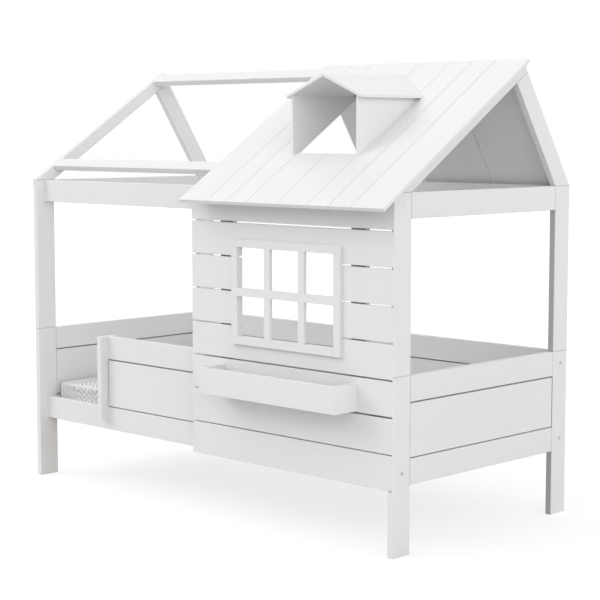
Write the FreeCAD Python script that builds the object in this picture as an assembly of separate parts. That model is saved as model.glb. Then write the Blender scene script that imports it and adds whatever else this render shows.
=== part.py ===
# House frame bed for a child: four stacked board posts, panelled bed sides, a boarded front
# with a small window and a flower box, and an uneven gable roof with a dormer on its long slope.
# Millimetres. X runs along the bed, Y from the front to the back, Z up from the floor.
# Pieces are placed from the front left corner of the frame: x = 0 at the outside of the left
# posts, y = 0 at the front face of the posts. At the end everything moves so that the origin
# is under the middle of the whole outline, on the floor.
import FreeCAD
import Part
import math
import os

V = FreeCAD.Vector
os.makedirs("parts", exist_ok=True)

# ---- driving dimensions -------------------------------------------------------------------
MATTRESS_L, MATTRESS_W, MATTRESS_H, MATTRESS_CORNER = 1994.0, 890.0, 100.0, 18.0
FRAME_L = 2070.0            # over the posts
FRAME_W = 1041.0            # front face to back face of the posts
POST_T, POST_D = 25.0, 92.0  # board posts: thin along the bed, deep across it
LEG_TOP = 649.0             # lower legs end here, upper posts stand on them
POST_TOP = 1296.0
RAIL_T = 20.0               # long rails and beams
FRONT_INSET = 39.0          # front face of the front rails behind the front of the posts
REAR_INSET = 31.0
RAIL_BOTTOM, RAIL_H = 254.0, 95.0
TOP_RAIL_H = 96.0
BEAM_H = 93.0               # beams that tie the upper posts
PANEL_GAP = 5.0             # shadow gap above, below and at one end of each infill panel
CLOSE_GAP = 0.8             # where a panel comes up to its post
TONGUE_T, TONGUE_IN = 6.0, 8.0
TENON_L, TENON_T, TENON_SHOULDER = 20.0, 12.0, 15.0
PITCH = 33.0                # front slope, degrees; the rear slope stands square to it
ROOF_T = 14.0               # roof boards
ROOF_GAP = 2.2              # open joint between two roof boards
REAR_BOARDS = 3
SILL_H = 25.0               # strip behind the rear beam that carries the rear roof boards
PURLIN_S, PURLIN_W = 111.0, 56.0
RIDGE_W = 60.0
LUMBER_T = 25.0             # ridge pole and purlin
ROOF_RIGHT, REAR_ROOF_LEFT = 2108.0, 1032.0
EAVE = 113.0                # roof boards below the top of the post, along the slope
WIDE_BOARD, NARROW_BOARD = 155.0, 106.5   # laid wide, narrow, narrow, wide, and again
FACADE_LEFT, FACADE_RIGHT, FACADE_T = 1024.0, 2066.0, 16.0
FACADE_BOTTOM, FACADE_PITCH, FACADE_BOARDS = 243.0, 132.0, 8
FACADE_GAP, LOW_GAP = 6.0, 3.5           # open joints; the lowest one is narrower
BATTEN_W = 71.0
REBATE_BOTTOM = FACADE_BOTTOM - 3.0      # the front's rebate in the right front leg starts here
BATTEN_X = (1170.0, 1852.0)
WINDOW_X, WINDOW_Z, WINDOW_W, WINDOW_H = 1260.0, 698.0, 564.0, 403.0
WINDOW_BAR, WINDOW_T, WINDOW_EASE = 31.0, 14.0, 0.7
BOX_X, BOX_Z, BOX_L, BOX_D, BOX_H, BOX_T = 1191.0, 510.0, 707.0, 120.0, 102.0, 15.0
BOX_CLEAT = 45.0            # height of the strip that fixes the flower box to the front
DORMER_X, DORMER_FRONT = 1584.0, 158.0
DORMER_HALF, DORMER_EAVE, DORMER_OVER, DORMER_LIP = 171.0, 20.0, 8.0, 14.0
DORMER_REVEAL = 1.5         # cut-out in the roof boards set back under each cheek
DORMER_RIDGE_Z, DORMER_SLOPE, DORMER_T = 1721.0, 80.0 / 191.0, 9.5
GUARD_X = 424.0             # short post that ends the front guard
GUARD_POST_LOW = 296.0
SLATS, SLAT_W, SLAT_T = 14, 70.0, 18.0
SLAT_MARGIN, SLAT_PLAY = 30.0, 2.0      # first slat from the end, slat ends from the rails
LEDGER_W, LEDGER_H, LEDGER_UP, LEDGER_SHORT = 20.0, 30.0, 3.0, 5.0
BOLT_R, BOLT_HEAD_R, BOLT_HEAD_T, BOLT_L = 3.0, 7.5, 2.2, 68.0
SOCKET_R, SOCKET_DEEP = 2.6, 3.2        # hexagon socket in each bolt head
NUT_R, NUT_L, NUT_BACK = 5.0, 14.0, 33.0
DOWEL_R, DOWEL_L = 4.0, 40.0
DOWEL_IN = (30.0, 60.0)     # the two dowels in a post end, from its outer edge
DOWEL_EDGE = 16.0           # the two in an end of the ridge pole, from its edges
EASE = 1.5                  # eased edges of the boards
FINE_EASE = 1.0             # eased ends and edges of the posts, rafters and roof boards
CLEAR = 0.2                 # play round tenons, tongues and bolts
REST_GAP = 0.3              # the loose mattress clears its slats by this
EDGE_ROLL, MATTRESS_WAIST = 8.0, 2.0    # rolled edges, sides drawn in at half height
CROWN, CROWN_RUN = 4.0, 60.0            # the top rises this much over this width

# ---- what follows from them -----------------------------------------------------------------
PITCH_RAD = math.radians(PITCH)
RISE = math.tan(PITCH_RAD)
COS, SIN = math.cos(PITCH_RAD), math.sin(PITCH_RAD)
APEX_Y = FRAME_W * COS * COS            # slopes meet at a right angle here
APEX_S = APEX_Y / COS                   # length of the front slope
FRONT_RAFTER_W = POST_D * SIN           # so that each rafter's foot covers its post's top
REAR_RAFTER_W = POST_D * COS
FRONT_Y0 = FRONT_INSET
FRONT_Y1 = FRONT_INSET + RAIL_T
REAR_Y1 = FRAME_W - REAR_INSET
REAR_Y0 = REAR_Y1 - RAIL_T
INNER_X0, INNER_X1 = POST_T, FRAME_L - POST_T
INNER_Y0, INNER_Y1 = POST_D, FRAME_W - POST_D
RAIL_TOP = RAIL_BOTTOM + RAIL_H
TOP_RAIL_BOTTOM = LEG_TOP - TOP_RAIL_H
BEAM_BOTTOM = POST_TOP - BEAM_H
LEDGER_TOP = RAIL_BOTTOM + LEDGER_UP + LEDGER_H
SLAT_TOP = LEDGER_TOP + SLAT_T
GUARD_END = GUARD_X + POST_T
WINDOW_OPEN = (WINDOW_X + WINDOW_BAR, WINDOW_X + WINDOW_W - WINDOW_BAR,
               WINDOW_Z + WINDOW_BAR, WINDOW_Z + WINDOW_H - WINDOW_BAR)
DORMER_SILL = DORMER_FRONT + DORMER_LIP  # the cut-out starts a little behind the cheeks' front
BIG = 4000.0


# ---- helpers --------------------------------------------------------------------------------
def box(x0, x1, y0, y1, z0, z1):
    return Part.makeBox(x1 - x0, y1 - y0, z1 - z0, V(x0, y0, z0))


def grown(tongue, by):
    """Hole that takes a tongue or tenon: play all round, but it rests on the floor of the hole."""
    b = tongue.BoundBox
    return box(b.XMin - by, b.XMax + by, b.YMin - by, b.YMax + by, b.ZMin, b.ZMax + by)


def eased(solid, along, size=EASE):
    """Chamfer the straight edges that run along one axis ('X', 'Y' or 'Z')."""
    way = {"X": V(1, 0, 0), "Y": V(0, 1, 0), "Z": V(0, 0, 1)}[along]
    edges = [e for e in solid.Edges if abs(abs(e.tangentAt(e.FirstParameter).dot(way)) - 1) < 1e-6]
    return solid.makeChamfer(size, edges)


def board(x0, x1, y0, y1, z0, z1, size=EASE):
    """A board with its four long edges eased."""
    spans = {"X": x1 - x0, "Y": y1 - y0, "Z": z1 - z0}
    return eased(box(x0, x1, y0, y1, z0, z1), max(spans, key=spans.get), size)


def eased_all_round(solid, size=FINE_EASE):
    """Chamfer every edge, so that the ends too show a fine line where they meet a neighbour."""
    return solid.makeChamfer(size, solid.Edges)


def rod(centre, way, radius, length, sides=10):
    """A hidden pin or its hole: a round drawn with few flat sides, its middle at the centre."""
    way = V(*way).normalize()
    across = way.cross(V(0, 1, 0) if abs(way.y) < 0.5 else V(1, 0, 0)).normalize()
    other = way.cross(across)
    start = V(*centre) - way * (length / 2)
    rim = []
    for i in range(sides + 1):
        turn = 2 * math.pi * (i % sides + 0.5) / sides
        rim.append(start + across * (radius * math.cos(turn)) + other * (radius * math.sin(turn)))
    return Part.Face(Part.makePolygon(rim)).extrude(way * length)


def slope_point(x, s, n):
    """s runs up the front slope from the front edge of the post tops, n goes inwards from it."""
    return (x, s * COS + n * SIN, POST_TOP + s * SIN - n * COS)


def on_slope(solid):
    return solid.rotate(V(0, 0, POST_TOP), V(1, 0, 0), PITCH)


def slope_board(x0, x1, s0, s1, n0, n1, size=EASE):
    """A board laid in the front slope's own directions, then turned up to the pitch."""
    return on_slope(board(x0, x1, s0, s1, POST_TOP - n1, POST_TOP - n0, size))


def prism(points, axis_point, length):
    """Extrude a closed outline given as (x, y, z) points."""
    wire = Part.makePolygon([V(*p) for p in points] + [V(*points[0])])
    return Part.Face(wire).extrude(V(*axis_point) * length)


BELOW_POST_TOP = box(-BIG, BIG, -BIG, BIG, POST_TOP - BIG, POST_TOP)
ABOVE_ROOF_TOP = on_slope(box(-BIG, BIG, -BIG, BIG, POST_TOP + ROOF_T, POST_TOP + ROOF_T + BIG))

parts = {}      # node name: list of separate solids


def add(name, *solids):
    parts[name] = list(solids)


def cut(name, *tools):
    for tool in tools:
        parts[name] = [solid.cut(tool) for solid in parts[name]]


# ---- posts ------------------------------------------------------------------------------------
CORNERS = {
    "front_left": (0.0, 0.0), "front_right": (FRAME_L - POST_T, 0.0),
    "rear_left": (0.0, FRAME_W - POST_D), "rear_right": (FRAME_L - POST_T, FRAME_W - POST_D),
}
for corner, (px, py) in CORNERS.items():
    add("leg_" + corner, eased_all_round(box(px, px + POST_T, py, py + POST_D, 0, LEG_TOP)))
    add("post_" + corner, eased_all_round(box(px, px + POST_T, py, py + POST_D, LEG_TOP, POST_TOP)))

# the boarded front is let into the right front post, flush with its face
rebate = box(FRAME_L - POST_T - 1, FACADE_RIGHT, -1, FACADE_T, REBATE_BOTTOM, POST_TOP + 1)
cut("leg_front_right", rebate)
cut("post_front_right", rebate)


# ---- end frames: rails tenoned into the legs, panels with a tongue all round ------------------
def tenon_pair(x0, x1, y0, y1, z0, z1):
    """Two stub tenons on the ends of a rail that runs along Y between the posts."""
    left, right = (x0 + x1 - TENON_T) / 2, (x0 + x1 + TENON_T) / 2
    low, high = z0 + TENON_SHOULDER, z1 - TENON_SHOULDER
    return [box(left, right, y0 - TENON_L, y0, low, high),
            box(left, right, y1, y1 + TENON_L, low, high)]


def tongued_panel(x0, x1, y0, y1, z0, z1, thin):
    """Panel flush with its frame on both faces; its tongue bridges the shadow gap."""
    if thin == "X":
        mid = (x0 + x1) / 2
        body = box(x0, x1, y0 + CLOSE_GAP, y1 - PANEL_GAP, z0 + PANEL_GAP, z1 - PANEL_GAP)
        tongue = box(mid - TONGUE_T / 2, mid + TONGUE_T / 2,
                     y0 - TONGUE_IN, y1 + TONGUE_IN, z0 - TONGUE_IN, z1 + TONGUE_IN)
    else:
        mid = (y0 + y1) / 2
        body = box(x0 + PANEL_GAP, x1 - PANEL_GAP, y0, y1, z0 + PANEL_GAP, z1 - PANEL_GAP)
        tongue = box(x0 - TONGUE_IN, x1 + TONGUE_IN, mid - TONGUE_T / 2, mid + TONGUE_T / 2,
                     z0 - TONGUE_IN, z1 + TONGUE_IN)
    return body.fuse(tongue).removeSplitter(), grown(tongue, CLEAR)


for side, x0 in (("left", 0.0), ("right", FRAME_L - POST_T)):
    x1 = x0 + POST_T
    front, rear = "front_" + side, "rear_" + side
    for name, z0, z1, holder in (("bottom_rail", RAIL_BOTTOM, RAIL_TOP, "leg_"),
                                 ("top_rail", TOP_RAIL_BOTTOM, LEG_TOP, "leg_"),
                                 ("tie_beam", BEAM_BOTTOM, POST_TOP, "post_")):
        rail = board(x0, x1, INNER_Y0, INNER_Y1, z0, z1)
        tenons = tenon_pair(x0, x1, INNER_Y0, INNER_Y1, z0, z1)
        add(side + "_end_" + name, rail.fuse(tenons[0]).fuse(tenons[1]))
        cut(holder + front, grown(tenons[0], CLEAR))
        cut(holder + rear, grown(tenons[1], CLEAR))
    panel, groove = tongued_panel(x0, x1, INNER_Y0, INNER_Y1, RAIL_TOP, TOP_RAIL_BOTTOM, "X")
    add(side + "_end_panel", panel)
    for name in (side + "_end_bottom_rail", side + "_end_top_rail", "leg_" + front, "leg_" + rear):
        cut(name, groove)

# ---- long sides -------------------------------------------------------------------------------
add("front_side_rail", board(INNER_X0, INNER_X1, FRONT_Y0, FRONT_Y1, RAIL_BOTTOM, RAIL_TOP))
add("rear_side_rail", board(INNER_X0, INNER_X1, REAR_Y0, REAR_Y1, RAIL_BOTTOM, RAIL_TOP))
add("rear_top_rail", board(INNER_X0, INNER_X1, REAR_Y0, REAR_Y1, TOP_RAIL_BOTTOM, LEG_TOP))
add("guard_top_rail", board(GUARD_END, INNER_X1, FRONT_Y0, FRONT_Y1, TOP_RAIL_BOTTOM, LEG_TOP))
add("front_top_beam", board(INNER_X0, INNER_X1, FRONT_Y0, FRONT_Y1, BEAM_BOTTOM, POST_TOP))
add("rear_top_beam", board(INNER_X0, INNER_X1, REAR_Y0, REAR_Y1, BEAM_BOTTOM, POST_TOP))

# the guard's short post sits on the side rail and laps over its front face
short_post = board(GUARD_X, GUARD_END, 0, POST_D, GUARD_POST_LOW, LEG_TOP)
notch = box(GUARD_X - 1, GUARD_END + 1, FRONT_Y0, POST_D + 1, GUARD_POST_LOW - 1, RAIL_TOP)
add("guard_post", short_post.cut(notch))

guard_panel, guard_groove = tongued_panel(GUARD_END, INNER_X1, FRONT_Y0, FRONT_Y1,
                                          RAIL_TOP, TOP_RAIL_BOTTOM, "Y")
add("guard_panel", guard_panel)
for name in ("front_side_rail", "guard_top_rail", "guard_post", "leg_front_right"):
    cut(name, guard_groove)

rear_panel, rear_groove = tongued_panel(INNER_X0, INNER_X1, REAR_Y0, REAR_Y1,
                                        RAIL_TOP, TOP_RAIL_BOTTOM, "Y")
add("rear_panel", rear_panel)
for name in ("rear_side_rail", "rear_top_rail", "leg_rear_left", "leg_rear_right"):
    cut(name, rear_groove)


# ---- boarded front ----------------------------------------------------------------------------
def facade_span(index):
    """Bottom and top of one board's face."""
    bottom = FACADE_BOTTOM + index * FACADE_PITCH
    top = bottom + FACADE_PITCH - FACADE_GAP
    if index == 1:
        bottom -= FACADE_GAP - LOW_GAP
    return bottom, top


def facade_board(index):
    """One horizontal board; the window opening cuts it where the two meet."""
    bottom, top = facade_span(index)
    plain = board(FACADE_LEFT, FACADE_RIGHT, 0, FACADE_T, bottom, top)
    opening = box(WINDOW_OPEN[0], WINDOW_OPEN[1], -1, FACADE_T + 1, WINDOW_OPEN[2], WINDOW_OPEN[3])
    return plain.cut(opening).Solids


for i in range(FACADE_BOARDS):
    add("facade_board_%d" % (i + 1), *facade_board(i))

FACADE_TOP = facade_span(FACADE_BOARDS - 1)[1]
add("facade_battens", *[board(x, x + BATTEN_W, FACADE_T, FRONT_Y0, RAIL_BOTTOM, FACADE_TOP)
                        for x in BATTEN_X])


# ---- window lattice: a frame of four, two mullions and a cross bar halved into each other -----
def window_lattice():
    x0, x1, z0, z1 = WINDOW_OPEN
    stiles = [board(x, x + WINDOW_BAR, -WINDOW_T, 0, WINDOW_Z, WINDOW_Z + WINDOW_H, WINDOW_EASE)
              for x in (WINDOW_X, x1)]
    rails = [board(x0, x1, -WINDOW_T, 0, z, z + WINDOW_BAR, WINDOW_EASE) for z in (WINDOW_Z, z1)]
    pane = (x1 - x0 - 2 * WINDOW_BAR) / 3
    mid_z = (z0 + z1) / 2
    bar = box(x0, x1, -WINDOW_T, 0, mid_z - WINDOW_BAR / 2, mid_z + WINDOW_BAR / 2)
    mullions = []
    for column in (1, 2):
        left = x0 + column * pane + (column - 1) * WINDOW_BAR
        right = left + WINDOW_BAR
        lap = box(left, right, -WINDOW_T / 2, 1, bar.BoundBox.ZMin, bar.BoundBox.ZMax)
        mullions.append(box(left, right, -WINDOW_T, 0, z0, z1).cut(lap))
        bar = bar.cut(box(left, right, -WINDOW_T - 1, -WINDOW_T / 2, mid_z - BIG / 2, mid_z + BIG / 2))
    return stiles + rails, [bar] + mullions


window_frame, glazing_bars = window_lattice()
add("window_frame", *window_frame)
add("window_glazing_bars", *glazing_bars)

# ---- flower box: a front and two ends round a bottom board; the boarded front is its back, and a
# low strip on the bottom board fixes it there ---------------------------------------------------
box_right = BOX_X + BOX_L
box_top = BOX_Z + BOX_H
add("flower_box_front", board(BOX_X, box_right, -BOX_D, -BOX_D + BOX_T, BOX_Z, box_top))
add("flower_box_back", board(BOX_X + BOX_T, box_right - BOX_T, -BOX_T, 0,
                             BOX_Z + BOX_T, BOX_Z + BOX_T + BOX_CLEAT))
for side, x in (("left", BOX_X), ("right", box_right - BOX_T)):
    add("flower_box_%s_end" % side,
        board(x, x + BOX_T, -BOX_D + BOX_T, 0, BOX_Z, box_top))
add("flower_box_bottom",
    box(BOX_X + BOX_T, box_right - BOX_T, -BOX_D + BOX_T, 0, BOX_Z, BOX_Z + BOX_T))

# ---- roof frame -------------------------------------------------------------------------------
for side, x in (("left", 0.0), ("right", FRAME_L - POST_T)):
    front_rafter = on_slope(box(x, x + POST_T, -POST_D, APEX_S, POST_TOP - FRONT_RAFTER_W, POST_TOP))
    add("rafter_front_" + side, eased_all_round(front_rafter.cut(BELOW_POST_TOP)))
    rear_rafter = on_slope(box(x, x + POST_T, APEX_S - REAR_RAFTER_W, APEX_S,
                               POST_TOP - FRAME_W, POST_TOP - FRONT_RAFTER_W))
    add("rafter_rear_" + side, eased_all_round(rear_rafter.cut(BELOW_POST_TOP)))

RIDGE_S = APEX_S - ROOF_T - RIDGE_W
add("ridge_pole", slope_board(INNER_X0, INNER_X1, RIDGE_S, RIDGE_S + RIDGE_W, 0, LUMBER_T))
add("front_purlin", slope_board(INNER_X0, INNER_X1, PURLIN_S, PURLIN_S + PURLIN_W, 0, LUMBER_T))


# ---- roof boards ------------------------------------------------------------------------------
def joints(right, widths):
    """Left and right edges of boards laid side by side from the right, an open joint between two."""
    spans = []
    for width in widths:
        spans.append([right - width + ROOF_GAP, right])
        right -= width
    spans[-1][0] -= ROOF_GAP
    return spans


def dormer_hole():
    """Vertical shaft between the cheeks, from the sill to the cheeks' rear points."""
    half = DORMER_HALF - DORMER_T + DORMER_REVEAL
    return box(DORMER_X - half, DORMER_X + half, DORMER_SILL, CHEEK_REAR, POST_TOP, POST_TOP + BIG)


def roof_surface_y(z):
    """Where the top of the front roof boards reaches the height z."""
    return (z - POST_TOP - ROOF_T / COS) / RISE


CHEEK_TOP = DORMER_RIDGE_Z - DORMER_HALF * DORMER_SLOPE - DORMER_T * math.hypot(1, DORMER_SLOPE)
CHEEK_REAR = roof_surface_y(CHEEK_TOP)
front_widths = (WIDE_BOARD, NARROW_BOARD, NARROW_BOARD, WIDE_BOARD) * 2
front_boards = []
for left, right in joints(ROOF_RIGHT, front_widths):
    whole = slope_board(left, right, -EAVE, APEX_S - ROOF_T, -ROOF_T, 0, FINE_EASE)
    front_boards += whole.cut(dormer_hole()).Solids
add("roof_boards_front", *front_boards)

rear_boards = []
for left, right in joints(INNER_X1, [(INNER_X1 - REAR_ROOF_LEFT) / REAR_BOARDS] * REAR_BOARDS):
    plank = on_slope(board(left, right, APEX_S - ROOF_T, APEX_S, POST_TOP - FRAME_W, POST_TOP, FINE_EASE))
    rear_boards.append(plank.cut(BELOW_POST_TOP))
add("roof_boards_rear", *rear_boards)
add("rear_roof_sill", board(REAR_ROOF_LEFT, INNER_X1, REAR_Y1, FRAME_W, POST_TOP - SILL_H, POST_TOP))

# ---- dormer -----------------------------------------------------------------------------------
def cheek(x):
    """Triangular side wall; it stands on the roof boards and is bevelled under its roof panel."""
    top = CHEEK_TOP + DORMER_T / 2
    rear = roof_surface_y(top)
    foot = POST_TOP + ROOF_T / COS + DORMER_FRONT * RISE
    outline = [(x, DORMER_FRONT, top), (x, rear, top), (x, DORMER_FRONT, foot)]
    return prism(outline, (1, 0, 0), DORMER_T)


def dormer_slab(way):
    """One sloping roof panel, still running through the main roof."""
    reach = DORMER_HALF + DORMER_EAVE
    drop = DORMER_T * math.hypot(1, DORMER_SLOPE)
    y = DORMER_FRONT - DORMER_OVER
    outline = [(DORMER_X, y, DORMER_RIDGE_Z), (DORMER_X, y, DORMER_RIDGE_Z - drop),
               (DORMER_X + way * reach, y, DORMER_RIDGE_Z - drop - reach * DORMER_SLOPE),
               (DORMER_X + way * reach, y, DORMER_RIDGE_Z - reach * DORMER_SLOPE)]
    return prism(outline, (0, 1, 0), FRAME_W)


for side, way, x in (("left", -1, DORMER_X - DORMER_HALF),
                     ("right", 1, DORMER_X + DORMER_HALF - DORMER_T)):
    slab = dormer_slab(way)
    add("dormer_cheek_" + side, cheek(x).cut(slab))
    add("dormer_roof_" + side, slab.common(ABOVE_ROOF_TOP))

# ---- slatted base and mattress ----------------------------------------------------------------
ledger_x0, ledger_x1 = INNER_X0 + LEDGER_SHORT, INNER_X1 - LEDGER_SHORT
add("slat_ledgers", *[board(ledger_x0, ledger_x1, y, y + LEDGER_W, LEDGER_TOP - LEDGER_H, LEDGER_TOP)
                      for y in (FRONT_Y1, REAR_Y0 - LEDGER_W)])
slat_step = (INNER_X1 - INNER_X0 - 2 * SLAT_MARGIN - SLAT_W) / (SLATS - 1)
slat_starts = [INNER_X0 + SLAT_MARGIN + i * slat_step for i in range(SLATS)]
add("slats", *[board(x, x + SLAT_W, FRONT_Y1 + SLAT_PLAY, REAR_Y0 - SLAT_PLAY, LEDGER_TOP, SLAT_TOP)
               for x in slat_starts])


def rounded_outline(inset, z, corner=MATTRESS_CORNER):
    """Rounded rectangle of four lines and four quarter arcs, drawn in by the inset."""
    cx, cy = FRAME_L / 2, (POST_D + REAR_Y0) / 2
    hx, hy, r = MATTRESS_L / 2 - inset, MATTRESS_W / 2 - inset, corner
    diagonal = r * (1 - math.sqrt(0.5))
    edges = []
    for sx, sy in ((1, 1), (-1, 1), (-1, -1), (1, -1)):
        along_x = V(cx + sx * (hx - r), cy + sy * hy, z)
        along_y = V(cx + sx * hx, cy + sy * (hy - r), z)
        middle = V(cx + sx * (hx - diagonal), cy + sy * (hy - diagonal), z)
        first, last = (along_y, along_x) if sx * sy > 0 else (along_x, along_y)
        if edges:
            edges.append(Part.makeLine(edges[-1].lastVertex().Point, first))
        edges.append(Part.Arc(first, middle, last).toShape())
    edges.append(Part.makeLine(edges[-1].lastVertex().Point, edges[0].firstVertex().Point))
    return Part.Wire(edges)


def mattress():
    """Foam mattress with rolled edges, slightly drawn-in sides and a low crown."""
    z0 = SLAT_TOP + REST_GAP
    levels = [  # drawn in by, height
        (EDGE_ROLL, 0.0), (0.8, EDGE_ROLL), (MATTRESS_WAIST, MATTRESS_H / 2),
        (0.4, MATTRESS_H - CROWN - EDGE_ROLL), (EDGE_ROLL, MATTRESS_H - CROWN), (CROWN_RUN, MATTRESS_H),
    ]
    return Part.makeLoft([rounded_outline(inset, z0 + up) for inset, up in levels], True, True)


add("mattress", mattress())

# ---- connector bolts, barrel nuts and dowels --------------------------------------------------
front_bolt_y, rear_bolt_y = (FRONT_Y0 + FRONT_Y1) / 2, (REAR_Y0 + REAR_Y1) / 2
rail_z, top_z, beam_z = RAIL_BOTTOM + RAIL_H / 2, LEG_TOP - TOP_RAIL_H / 2, POST_TOP - BEAM_H / 2
BOLTED = [  # post, rail, y, z
    ("leg_front_", "front_side_rail", front_bolt_y, rail_z),
    ("post_front_", "front_top_beam", front_bolt_y, beam_z),
    ("leg_rear_", "rear_side_rail", rear_bolt_y, rail_z),
    ("leg_rear_", "rear_top_rail", rear_bolt_y, top_z),
    ("post_rear_", "rear_top_beam", rear_bolt_y, beam_z),
]


def bolt(x, way, y, z):
    """Socket-head connector bolt through a post into the end of a rail."""
    shank = rod((x + way * BOLT_L / 2, y, z), (1, 0, 0), BOLT_R, BOLT_L)
    head = Part.makeCone(BOLT_HEAD_R, BOLT_HEAD_R - 1.5, BOLT_HEAD_T, V(x, y, z), V(-way, 0, 0))
    socket = rod((x - way * BOLT_HEAD_T, y, z), (1, 0, 0), SOCKET_R, 2 * SOCKET_DEEP, 6)
    return head.fuse(shank).cut(socket)


bolts, nuts = [], []
for side, x, way in (("left", 0.0, 1), ("right", FRAME_L, -1)):
    for post, rail, y, z in BOLTED:
        inward = 1 if y < FRAME_W / 2 else -1
        hole = rod((x + way * BOLT_L / 2, y, z), (1, 0, 0), BOLT_R + CLEAR, BOLT_L + 4)
        nut_y = y + inward * (RAIL_T / 2 - NUT_L / 2)
        nut = rod((x + way * (POST_T + NUT_BACK), nut_y, z), (0, 1, 0), NUT_R, NUT_L)
        cut(post + side, hole)
        cut(rail, hole, rod((x + way * (POST_T + NUT_BACK), nut_y, z), (0, 1, 0),
                                 NUT_R + CLEAR, NUT_L + 2 * CLEAR))
        bolts.append(bolt(x, way, y, z))
        nuts.append(nut.cut(rod((x + way * BOLT_L / 2, y, z), (1, 0, 0), BOLT_R, BOLT_L + 4)))
add("connector_bolts", *bolts)
add("barrel_nuts", *nuts)

SLOPE_UP = (0, COS, SIN)
SLOPE_IN = (0, SIN, -COS)
DOWELS = []     # centre, direction, the two nodes it joins
for side, post_x, joint_x in (("left", POST_T / 2, INNER_X0),
                              ("right", FRAME_L - POST_T / 2, INNER_X1)):
    for end in ("front", "rear"):
        outer, inner = DOWEL_IN if end == "front" else [FRAME_W - inset for inset in DOWEL_IN]
        for y in (outer, inner):
            DOWELS.append(((post_x, y, LEG_TOP), (0, 0, 1), "leg_%s_%s" % (end, side),
                           "post_%s_%s" % (end, side)))
        DOWELS.append(((post_x, inner, POST_TOP), (0, 0, 1), "post_%s_%s" % (end, side),
                       "rafter_%s_%s" % (end, side)))
    for s, node in ((PURLIN_S + PURLIN_W / 2, "front_purlin"), (RIDGE_S + DOWEL_EDGE, "ridge_pole"),
                    (RIDGE_S + RIDGE_W - DOWEL_EDGE, "ridge_pole")):
        DOWELS.append((slope_point(joint_x, s, LUMBER_T / 2), (1, 0, 0),
                       "rafter_front_" + side, node))
    DOWELS.append((slope_point(post_x, APEX_S - REAR_RAFTER_W / 2, FRONT_RAFTER_W), SLOPE_IN,
                   "rafter_front_" + side, "rafter_rear_" + side))

dowels = []
for centre, way, first, second in DOWELS:
    dowels.append(rod(centre, way, DOWEL_R, DOWEL_L))
    for name in (first, second):
        cut(name, rod(centre, way, DOWEL_R, DOWEL_L + 1))
add("dowels", *dowels)

# ---- move to the origin and write -------------------------------------------------------------
everything = Part.makeCompound([solid for solids in parts.values() for solid in solids])
outline_box = everything.optimalBoundingBox(False)
shift = V(-(outline_box.XMin + outline_box.XMax) / 2, -(outline_box.YMin + outline_box.YMax) / 2, 0)
for name, solids in parts.items():
    whole = Part.makeCompound(solids) if len(solids) > 1 else solids[0]
    placed = whole.translated(shift)
    placed.exportStep("parts/%s.step" % name)
print(len(parts), "nodes", sum(len(s) for s in parts.values()), "solids",
      "size", [round(v, 1) for v in (outline_box.XLength, outline_box.YLength, outline_box.ZLength)],
      "shift", [round(v, 2) for v in shift], "apex", round(APEX_Y, 1), round(APEX_S, 1))
for name, solids in parts.items():
    bad = [s for s in solids if not s.isValid() or s.Volume <= 0 or s.ShapeType not in ("Solid", "Compound")]
    if bad or any(len(s.Solids) != 1 for s in solids):
        print("check", name, [(s.ShapeType, len(s.Solids), s.isValid()) for s in solids])
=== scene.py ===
# %% [markdown]
# # A house frame bed, from bare boards to a painted piece
# The bed is a box of low panelled sides under a small timber house. The boards, posts, rails and
# roof arrive as finished solids, already at their real size, so this lesson is about what a joiner
# would call finishing: paint that looks brushed on smooth boards, bare slats under the mattress,
# zinc bolts, and a fitted sheet pulled over foam. Everything is in metres, with the origin on the
# floor under the middle of the bed, +X towards the boarded end and +Y towards the wall side.

# %% Load the frame
import math

import bmesh
import bpy
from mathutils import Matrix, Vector


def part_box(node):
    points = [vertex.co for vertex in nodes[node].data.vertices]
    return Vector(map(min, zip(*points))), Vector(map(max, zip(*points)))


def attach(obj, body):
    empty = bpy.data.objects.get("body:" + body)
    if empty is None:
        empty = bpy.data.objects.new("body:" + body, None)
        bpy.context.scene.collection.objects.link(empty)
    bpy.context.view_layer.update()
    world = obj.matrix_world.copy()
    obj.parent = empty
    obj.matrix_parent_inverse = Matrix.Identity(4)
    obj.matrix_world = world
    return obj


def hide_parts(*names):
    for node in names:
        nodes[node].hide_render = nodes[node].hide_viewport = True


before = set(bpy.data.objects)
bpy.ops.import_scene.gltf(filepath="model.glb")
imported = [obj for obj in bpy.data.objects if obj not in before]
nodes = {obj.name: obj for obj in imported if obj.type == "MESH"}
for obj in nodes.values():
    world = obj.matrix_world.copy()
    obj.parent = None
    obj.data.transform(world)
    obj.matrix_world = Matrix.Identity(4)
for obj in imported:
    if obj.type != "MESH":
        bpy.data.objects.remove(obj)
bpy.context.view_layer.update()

# %% [markdown]
# ## The camera
# Long edges that are parallel on the bed run towards two vanishing points in the photograph, and
# they tell the lens and the place of the camera. It stands about seven metres away, a little above
# the height of the roof's eave, with a long lens, so the far end looks nearly as large as the near
# one. The small shift only moves the frame: it turns nothing.

# %% Camera
PHOTO_SIZE = 600.0
SENSOR_WIDTH = 36.0                     # millimetres
FAR_LIMIT = 100.0                       # the camera sees no further than this, in metres
CAMERA_PLACE = Vector((4.7577, -4.7713, 1.5184))
CAMERA_AZIMUTH, CAMERA_ELEVATION = math.radians(44.331), math.radians(5.870)
FOCAL_PIXELS = 1645.4
VIEW_CENTRE = (297.21, 297.41)          # where the lens axis meets the photograph, in pixels

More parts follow.
